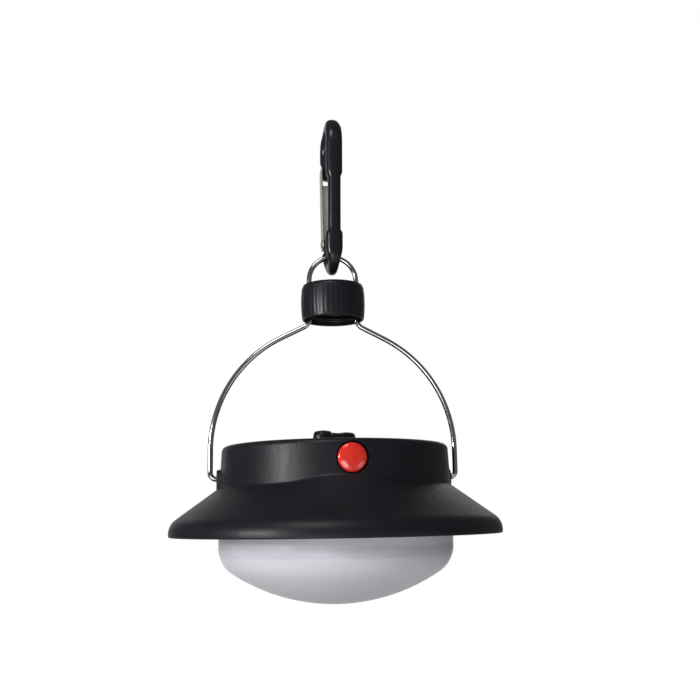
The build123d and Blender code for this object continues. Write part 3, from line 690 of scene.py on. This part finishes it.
def make_gate():
    """Folded sheet: two cheeks with a round foot on the rivet, joined by a back that stops at the nose."""
    _, heading = hook_path()
    outward = np.array([heading[1], -heading[0]])

    def at(along, out):
        return tuple(gate_pivot + along * heading + out * outward)

    foot = np.linspace(-TURN / 2, 0, 25)
    foot_line = [at(GATE_OUT * math.sin(turn), GATE_OUT * math.cos(turn)) for turn in foot]
    corners = [
        (*at(0.5, GATE_OUT), 0),
        (*at(GATE_LENGTH, GATE_OUT), 3.0),
        (*at(GATE_LENGTH, GATE_OUT - GATE_DEPTH), 0.8),
        (*at(10.0, -GATE_OUT), 20.0),
        (*at(0.5, -GATE_OUT), 0),
    ]
    cheek = np.concatenate([np.array(foot_line), rounded(corners, step=1.0)])
    half = HOOK_THICKNESS / 2 + CHEEK_PLAY
    back_top = NOSE_REACH - 1.0
    back_in = GATE_OUT - GATE_SHEET
    back = np.array([at(-0.5, back_in), at(-0.5, GATE_OUT), at(back_top, GATE_OUT), at(back_top, back_in)])
    lap = 0.02
    parts = [
        plate(cheek, half, GATE_SHEET),
        plate(cheek, -half - GATE_SHEET, GATE_SHEET),
        plate(back, -half - lap, 2 * (half + lap)),
    ]
    made = piece("gate_sheet", parts, sharp=30)
    edge = made.modifiers.new("rolled_edge", "BEVEL")
    edge.width = 0.16 * MM
    edge.segments = 3
    edge.limit_method = "ANGLE"
    edge.angle_limit = math.radians(40)
    edge.harden_normals = False
    return made


def make_rivet():
    """A plain shank with a domed head outside each cheek, turned as one piece."""
    inner = HOOK_THICKNESS / 2 + CHEEK_PLAY + GATE_SHEET + 0.05
    head = [
        (RIVET_RADIUS, inner, 0),
        (RIVET_HEAD, inner, 0.1),
        (RIVET_HEAD, inner + RIVET_HEAD_EDGE, 0.2),
        (0, inner + RIVET_HEAD_HEIGHT, 0),
    ]
    far_head = [(radius, -z, bend) for radius, z, bend in reversed(head)]
    profile = rounded(far_head + head, step=0.3)
    origin = (0, gate_pivot[0], gate_pivot[1])
    return piece("rivet_heads", [turned_to(lathe(profile, 48), "x", origin)], sharp=40)


# ---- Shader groups ----
def new_group(name, inputs):
    """An empty shader group with the given input sockets, and a colour, a roughness and a height out."""
    group = bpy.data.node_groups.new(name, "ShaderNodeTree")
    for label, kind, value in inputs:
        socket = group.interface.new_socket(name=label, in_out="INPUT", socket_type=kind)
        socket.default_value = value
    outputs = {"Color": "NodeSocketColor", "Roughness": "NodeSocketFloat", "Height": "NodeSocketFloat"}
    for label, kind in outputs.items():
        group.interface.new_socket(name=label, in_out="OUTPUT", socket_type=kind)
    return group, group.nodes.new("NodeGroupInput"), group.nodes.new("NodeGroupOutput")


def feed(tree, socket, value):
    """Gives a socket a plain value, or links another socket to it."""
    if isinstance(value, (int, float, tuple)):
        socket.default_value = value
    else:
        tree.links.new(value, socket)


def object_place(tree):
    """Object coordinates."""
    return tree.nodes.new("ShaderNodeTexCoord").outputs["Object"]


def along_axis(tree, place, axis):
    """One of the three coordinates of a place."""
    split = tree.nodes.new("ShaderNodeSeparateXYZ")
    tree.links.new(place, split.inputs["Vector"])
    return split.outputs[axis]


def stretched(tree, place, scale, rotation=(0.0, 0.0, 0.0)):
    """Coordinates stretched and turned, so that a pattern on them runs in streaks."""
    made = tree.nodes.new("ShaderNodeMapping")
    made.inputs["Scale"].default_value = scale
    made.inputs["Rotation"].default_value = rotation
    tree.links.new(place, made.inputs["Vector"])
    return made.outputs["Vector"]


def noise(tree, vector, scale, detail=3.0, roughness=0.5):
    """A noise texture on a vector socket; scale is a number or a socket."""
    made = tree.nodes.new("ShaderNodeTexNoise")
    made.inputs["Detail"].default_value = detail
    made.inputs["Roughness"].default_value = roughness
    feed(tree, made.inputs["Vector"], vector)
    feed(tree, made.inputs["Scale"], scale)
    return made.outputs["Fac"]


def math_node(tree, operation, *operands):
    """One math node; each operand is a number or a socket."""
    made = tree.nodes.new("ShaderNodeMath")
    made.operation = operation
    for socket, value in zip(made.inputs, operands):
        feed(tree, socket, value)
    return made.outputs[0]


def remap(tree, value, low, high, to_low, to_high):
    """Moves a value from one range to another, clamped."""
    made = tree.nodes.new("ShaderNodeMapRange")
    labels = ("Value", "From Min", "From Max", "To Min", "To Max")
    for label, given in zip(labels, (value, low, high, to_low, to_high)):
        feed(tree, made.inputs[label], given)
    return made.outputs["Result"]


def mix_color(tree, share, first, second):
    """Mixes two colours; each is a socket or a tuple."""
    made = tree.nodes.new("ShaderNodeMix")
    made.data_type = "RGBA"
    for label, value in (("Factor", share), ("A", first), ("B", second)):
        feed(tree, made.inputs[label], value)
    return made.outputs["Result"]


def moulded_group():
    """Moulded plastic: fine grain, faint cloudy colour change, handling marks and a little dust."""
    inputs = [
        ("Color", "NodeSocketColor", (0.02, 0.02, 0.02, 1)),
        ("Dust Color", "NodeSocketColor", (0.2, 0.2, 0.2, 1)),
        ("Dust", "NodeSocketFloat", 0.1),
        ("Roughness", "NodeSocketFloat", 0.4),
        ("Marks", "NodeSocketFloat", 0.08),
        ("Grain Scale", "NodeSocketFloat", 2500.0),
        ("Grain", "NodeSocketFloat", 0.5),
    ]
    group, given, result = new_group("Moulded Plastic", inputs)
    place = object_place(group)
    cloud = noise(group, place, 35.0, 4.0)
    speck = noise(group, place, 900.0, 2.0)
    dusty = math_node(group, "MULTIPLY", remap(group, speck, 0.62, 0.78, 0, 1), given.outputs["Dust"])
    film = math_node(group, "MULTIPLY", remap(group, cloud, 0.35, 0.75, 0, 0.35), given.outputs["Dust"])
    share = math_node(group, "ADD", dusty, film)
    dusted = mix_color(group, share, given.outputs["Color"], given.outputs["Dust Color"])
    group.links.new(dusted, result.inputs["Color"])
    rub = noise(group, stretched(group, place, (1.0, 1.0, 0.18), (0.3, 0.5, 0.2)), 240.0, 5.0, 0.65)
    marks = math_node(group, "MULTIPLY", remap(group, rub, 0.4, 0.7, -1, 1), given.outputs["Marks"])
    rough = math_node(group, "ADD", given.outputs["Roughness"], marks)
    group.links.new(math_node(group, "MULTIPLY_ADD", share, 0.3, rough), result.inputs["Roughness"])
    grain = noise(group, place, given.outputs["Grain Scale"], 2.0, 0.6)
    group.links.new(math_node(group, "MULTIPLY", grain, given.outputs["Grain"]), result.inputs["Height"])
    return group


def metal_group():
    """Drawn or pressed metal: streaks along one axis, and faint stains."""
    inputs = [
        ("Color", "NodeSocketColor", (0.6, 0.6, 0.6, 1)),
        ("Stain Color", "NodeSocketColor", (0.3, 0.28, 0.25, 1)),
        ("Stain", "NodeSocketFloat", 0.2),
        ("Roughness", "NodeSocketFloat", 0.2),
        ("Streaks", "NodeSocketFloat", 0.1),
        ("Streak Scale", "NodeSocketFloat", 900.0),
    ]
    group, given, result = new_group("Worked Metal", inputs)
    place = object_place(group)
    drawn = stretched(group, place, (1.0, 1.0, 0.05))
    streak = noise(group, drawn, given.outputs["Streak Scale"], 3.0, 0.6)
    cloud = noise(group, place, 60.0, 5.0, 0.6)
    stain = math_node(group, "MULTIPLY", remap(group, cloud, 0.45, 0.75, 0, 1), given.outputs["Stain"])
    stained = mix_color(group, stain, given.outputs["Color"], given.outputs["Stain Color"])
    group.links.new(stained, result.inputs["Color"])
    marks = math_node(group, "MULTIPLY", remap(group, streak, 0.3, 0.7, -1, 1), given.outputs["Streaks"])
    rough = math_node(group, "ADD", given.outputs["Roughness"], marks)
    group.links.new(math_node(group, "MULTIPLY_ADD", stain, 0.4, rough), result.inputs["Roughness"])
    group.links.new(streak, result.inputs["Height"])
    return group


MOULDED = moulded_group()
METAL = metal_group()


# ---- Materials ----
def new_material(name):
    """A node material with a Principled shader ready to be fed."""
    material = bpy.data.materials.new(name)
    material.use_nodes = True
    return material, material.node_tree, material.node_tree.nodes["Principled BSDF"]


def add_bump(tree, shader, height, strength, distance):
    """Feeds a height into the shader's normal."""
    bump = tree.nodes.new("ShaderNodeBump")
    bump.inputs["Strength"].default_value = strength
    bump.inputs["Distance"].default_value = distance
    tree.links.new(height, bump.inputs["Height"])
    tree.links.new(bump.outputs["Normal"], shader.inputs["Normal"])


def from_group(name, group, values, bump_strength, bump_distance, **sockets):
    """A material fed by a shared group, with its own constants on the shader."""
    material, tree, shader = new_material(name)
    effect = tree.nodes.new("ShaderNodeGroup")
    effect.node_tree = group
    for label, value in values.items():
        effect.inputs[label].default_value = value
    tree.links.new(effect.outputs["Color"], shader.inputs["Base Color"])
    tree.links.new(effect.outputs["Roughness"], shader.inputs["Roughness"])
    add_bump(tree, shader, effect.outputs["Height"], bump_strength, bump_distance)
    for label, value in sockets.items():
        shader.inputs[label.replace("_", " ")].default_value = value
    return material


def moulded(name, color, roughness, grain=0.5, grain_scale=2500.0, dust=0.06, marks=0.05, **sockets):
    """A moulded plastic finish."""
    values = {
        "Color": (*color, 1),
        "Dust Color": (0.16, 0.16, 0.17, 1),
        "Dust": dust,
        "Roughness": roughness,
        "Marks": marks,
        "Grain Scale": grain_scale,
        "Grain": grain,
    }
    return from_group(name, MOULDED, values, 0.35, 0.00006, **sockets)


def metal(name, color, roughness, streaks=0.06, stain=0.15, streak_scale=900.0, **sockets):
    """A bare metal finish."""
    values = {
        "Color": (*color, 1),
        "Stain Color": tuple(0.55 * part for part in color) + (1,),
        "Stain": stain,
        "Roughness": roughness,
        "Streaks": streaks,
        "Streak Scale": streak_scale,
    }
    return from_group(name, METAL, values, 0.12, 0.00003, Metallic=1.0, **sockets)


def lens_material():
    """Frosted white lens: pale lavender body painted lighter up by the rim and darker low down as painted shading,
    a faint darker band below the rim painted as the shade of the inner LED ring seen through the wall, and tiny
    pale flecks in that band.
    """
    material, tree, shader = new_material("frosted_lens")
    place = object_place(tree)
    height = along_axis(tree, place, "Z")
    wobble = math_node(tree, "MULTIPLY_ADD", noise(tree, place, 180.0, 2.0), 0.0014, -0.0007)
    level = math_node(tree, "ADD", height, wobble)
    # Painted shade: a darker band where the inner LED ring shows through the frosted wall.
    band_low, band_high, fade = 0.0215, 0.0275, 0.0013
    band_up = remap(tree, level, band_low, band_low + fade, 0, 1)
    band_down = remap(tree, level, band_high - fade, band_high, 1, 0)
    band = math_node(tree, "MULTIPLY", band_up, band_down)
    flecks = remap(tree, noise(tree, place, 1300.0, 1.0), 0.66, 0.72, 0, 1)
    # Painted shading: the body colour runs from darker at the bottom to lighter up at the rim.
    painted_shading = remap(tree, height, 0.0, 0.031, 0, 1)
    body = mix_color(tree, painted_shading, (0.66, 0.63, 0.66, 1), (0.92, 0.90, 0.97, 1))
    banded = mix_color(tree, math_node(tree, "MULTIPLY", band, 0.35), body, (0.50, 0.48, 0.60, 1))
    fleck_share = math_node(tree, "MULTIPLY", math_node(tree, "MULTIPLY", flecks, band), 0.8)
    flecked = mix_color(tree, fleck_share, banded, (0.95, 0.95, 0.95, 1))
    tree.links.new(flecked, shader.inputs["Base Color"])
    rough = remap(tree, noise(tree, place, 45.0, 2.0), 0.0, 1.0, 0.24, 0.38)
    tree.links.new(rough, shader.inputs["Roughness"])
    add_bump(tree, shader, noise(tree, place, 1800.0, 2.0), 0.12, 0.00004)
    shader.inputs["Transmission Weight"].default_value = 0.12
    shader.inputs["IOR"].default_value = 1.46
    return material


def button_material():
    """Glossy red cap: slightly uneven colour under a clear coat."""
    material, tree, shader = new_material("red_button")
    place = object_place(tree)
    cloud = noise(tree, place, 160.0, 3.0)
    share = remap(tree, cloud, 0.3, 0.7, 0, 1)
    tone = mix_color(tree, share, (0.86, 0.036, 0.018, 1), (0.76, 0.026, 0.016, 1))
    tree.links.new(tone, shader.inputs["Base Color"])
    rough = remap(tree, noise(tree, place, 420.0, 4.0), 0.3, 0.7, 0.14, 0.26)
    tree.links.new(rough, shader.inputs["Roughness"])
    add_bump(tree, shader, noise(tree, place, 1500.0, 2.0), 0.05, 0.00003)
    shader.inputs["Coat Weight"].default_value = 1.0
    shader.inputs["Coat Roughness"].default_value = 0.04
    return material


def gate_material():
    """Pressed steel: brushed outside; the back between the two cheeks is painted pale and less metallic as a
    painted highlight, the bright reflection on its inner face.
    """
    made = metal("gate_steel", (0.60, 0.57, 0.52), 0.34, streaks=0.08, stain=0.2)
    tree = made.node_tree
    shader = tree.nodes["Principled BSDF"]
    aside = math_node(tree, "ABSOLUTE", along_axis(tree, object_place(tree), "X"))
    edge = (HOOK_THICKNESS / 2 + CHEEK_PLAY) * MM
    # Painted highlight: the back between the cheeks is given a pale, less metallic colour.
    inside = remap(tree, aside, edge - 0.0002, edge, 1, 0)
    worked = shader.inputs["Base Color"].links[0].from_socket
    tree.links.new(mix_color(tree, inside, worked, (0.92, 0.91, 0.89, 1)), shader.inputs["Base Color"])
    tree.links.new(remap(tree, inside, 0, 1, 1.0, 0.25), shader.inputs["Metallic"])
    return made


def cell_material():
    """Printed sleeve: a dark body with a copper-toned end, split at a place along the cell."""
    material, tree, shader = new_material("cell_sleeve")
    place = object_place(tree)
    band = remap(tree, along_axis(tree, place, "X"), 0.0118, 0.0122, 0, 1)
    grain = noise(tree, place, 700.0, 3.0)
    dark = mix_color(tree, grain, (0.020, 0.022, 0.026, 1), (0.035, 0.037, 0.042, 1))
    copper = mix_color(tree, grain, (0.55, 0.27, 0.10, 1), (0.62, 0.33, 0.14, 1))
    tree.links.new(mix_color(tree, band, dark, copper), shader.inputs["Base Color"])
    tree.links.new(remap(tree, grain, 0.3, 0.7, 0.22, 0.34), shader.inputs["Roughness"])
    shader.inputs["Metallic"].default_value = 0.5
    return material


def floor_material():
    """Pale matt floor with very faint mottling, lifted to near white where the camera sees it."""
    material, tree, shader = new_material("pale_floor")
    place = object_place(tree)
    tone = mix_color(tree, noise(tree, place, 3.0), (0.90, 0.90, 0.90, 1), (0.93, 0.93, 0.93, 1))
    tree.links.new(tone, shader.inputs["Base Color"])
    shader.inputs["Roughness"].default_value = 0.9
    shader.inputs["Emission Color"].default_value = (1.0, 1.0, 1.0, 1)
    seen = tree.nodes.new("ShaderNodeLightPath").outputs["Is Camera Ray"]
    tree.links.new(math_node(tree, "MULTIPLY", seen, 0.95), shader.inputs["Emission Strength"])
    return material


NEAR_BLACK = (0.0085, 0.0085, 0.0125)
COAT_BLACK = (0.0105, 0.0105, 0.0155)
SATIN = {"grain": 4.0, "grain_scale": 1200.0, "marks": 0.03, "dust": 0.02, "Specular_IOR_Level": 0.34}
GLOSS = {"grain": 0.2, "marks": 0.04, "dust": 0.02, "Specular_IOR_Level": 0.36}
COATED = {"grain": 0.5, "grain_scale": 1800.0, "dust": 0.04, "Specular_IOR_Level": 0.36}

# The finish of each material slot
finishes = {
    "satin_black_plastic": moulded("satin_black_plastic", NEAR_BLACK, 0.42, **SATIN),
    "gloss_black_plastic": moulded("gloss_black_plastic", NEAR_BLACK, 0.38, **GLOSS),
    "frosted_lens": lens_material(),
    "seal_rubber": moulded("seal_rubber", (0.02, 0.02, 0.02), 0.75, dust=0.15),
    "white_plastic": moulded("white_plastic", (0.80, 0.80, 0.79), 0.35, dust=0.02),
    "white_board": moulded("white_board", (0.84, 0.84, 0.82), 0.30, dust=0.02, grain_scale=1200.0),
    "green_board": moulded("green_board", (0.03, 0.16, 0.07), 0.30, dust=0.02, grain_scale=1200.0),
    "led_resin": moulded("led_resin", (0.88, 0.86, 0.62), 0.12, grain=0.1, dust=0.0),
    "chip_black": moulded("chip_black", (0.02, 0.02, 0.02), 0.50),
    "tray_plastic": moulded("tray_plastic", (0.02, 0.02, 0.022), 0.55),
    "zinc_steel": metal("zinc_steel", (0.60, 0.60, 0.58), 0.30),
    "contact_steel": metal("contact_steel", (0.64, 0.63, 0.60), 0.22),
    "stainless_wire": metal("stainless_wire", (0.62, 0.61, 0.59), 0.12, streaks=0.03, stain=0.10),
    "gate_steel": gate_material(),
    "coated_alloy": moulded("coated_alloy", COAT_BLACK, 0.28, **COATED),
    "red_button": button_material(),
    "cell_sleeve": cell_material(),
}


def finish(made, slot, body, *replaced):
    """Gives a piece its material slot and finish, sets it on a body and hides the nodes it stands for."""
    made.data.materials.clear()
    made.data.materials.append(finishes[slot])
    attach(made, body)
    if replaced:
        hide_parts(*replaced)
    return made


# ---- Pieces ----
finish(make_housing(), "satin_black_plastic", "lamp", "shade_housing")
finish(make_ears(), "satin_black_plastic", "lamp")
finish(make_lens(), "frosted_lens", "lamp", "lens")
finish(make_button(), "red_button", "button", "power_button")
finish(make_cover(), "satin_black_plastic", "cover", "battery_cover")
finish(make_grip(), "gloss_black_plastic", "cover", "cover_grip")
finish(make_bail(), "stainless_wire", "bail", "bail_wire")
finish(make_ring_cap(), "gloss_black_plastic", "bail", "ring_cap")
finish(make_hook(), "coated_alloy", "hook", "carabiner_body")
finish(make_gate(), "gate_steel", "gate", "gate")
finish(make_rivet(), "gate_steel", "hook", "gate_rivet")

for part in frame["record"]["subparts"]:
    shown = nodes[part["node"]]
    if not shown.hide_render:
        shown.data.materials.clear()
        shown.data.materials.append(finishes[part["material_slot"]])


# ---- Stage, light and camera ----
def add_floor():
    """A broad pale floor well below the hanging lamp."""
    reach = 4000.0
    low = -500.0
    x, y = np.meshgrid([-reach, reach], [-reach, reach])
    corners = np.stack([x, y, np.full(x.shape, low)], axis=-1)
    floor = piece("floor", [(corners, grid_faces(2, 2))])
    floor.data.materials.append(floor_material())


def add_area(name, place, size, power):
    """A square soft light at a place, aimed at the lamp's middle."""
    lamp = bpy.data.lights.new(name, "AREA")
    lamp.size = size
    lamp.energy = power
    holder = bpy.data.objects.new(name, lamp)
    holder.location = place
    lamp_middle = Vector((0, 0, 0.08))
    holder.rotation_euler = (lamp_middle - Vector(place)).to_track_quat("-Z", "Y").to_euler()
    bpy.context.scene.collection.objects.link(holder)


def add_world():
    """Soft surroundings: a moderate even light, seen as near white behind the object."""
    world = bpy.data.worlds.new("studio")
    world.use_nodes = True
    tree = world.node_tree
    shader = tree.nodes["Background"]
    seen = tree.nodes.new("ShaderNodeBackground")
    shader.inputs["Color"].default_value = (0.93, 0.95, 1.0, 1)
    shader.inputs["Strength"].default_value = 0.13
    seen.inputs["Color"].default_value = (1.0, 1.0, 1.0, 1)
    seen.inputs["Strength"].default_value = 1.0
    ray = tree.nodes.new("ShaderNodeLightPath")
    mixed = tree.nodes.new("ShaderNodeMixShader")
    tree.links.new(ray.outputs["Is Camera Ray"], mixed.inputs["Fac"])
    tree.links.new(shader.outputs["Background"], mixed.inputs[1])
    tree.links.new(seen.outputs["Background"], mixed.inputs[2])
    tree.links.new(mixed.outputs["Shader"], tree.nodes["World Output"].inputs["Surface"])
    bpy.context.scene.world = world


def heading_vector(heading, pitch):
    """Unit vector turned from +Y towards +X by the heading, and raised by the pitch."""
    level = math.cos(pitch)
    return Vector((math.sin(heading) * level, math.cos(heading) * level, math.sin(pitch)))


def add_camera():
    """Just above the shade's rim, a little to the left of the button, tilted up towards the hook."""
    distance = 0.443
    eye_z = RIM_Z * MM + 0.0089
    side = math.radians(8.0)
    heading = side + math.radians(1.03)
    pitch = math.radians(10.04)
    roll = math.radians(-0.95)
    lens = bpy.data.cameras.new("view")
    lens.sensor_width = 36.0
    lens.lens = 47.93
    lens.clip_start = 0.01
    holder = bpy.data.objects.new("view", lens)
    aim = heading_vector(heading, pitch).to_track_quat("-Z", "Y").to_matrix().to_4x4()
    eye = -distance * heading_vector(side, 0.0) + Vector((0, 0, eye_z))
    holder.matrix_world = Matrix.Translation(eye) @ aim @ Matrix.Rotation(roll, 4, "Z")
    bpy.context.scene.collection.objects.link(holder)
    bpy.context.scene.camera = holder


add_floor()
add_world()
add_area("key", (-0.80, -0.52, 0.19), 0.17, 4.9)
add_area("front", (-0.35, -0.95, -0.34), 0.5, 3.0)
add_area("top", (0.44, 0.90, 0.70), 0.6, 0.6)
add_area("high_front", (-0.27, -0.52, 0.82), 0.3, 2.0)
add_area("low_right", (0.65, -0.85, -0.36), 0.5, 0.9)
add_area("backdrop", (0.1, 1.3, 0.15), 1.6, 4.0)
add_camera()
bpy.context.scene.view_settings.view_transform = "Standard"

bpy.context.view_layer.update()
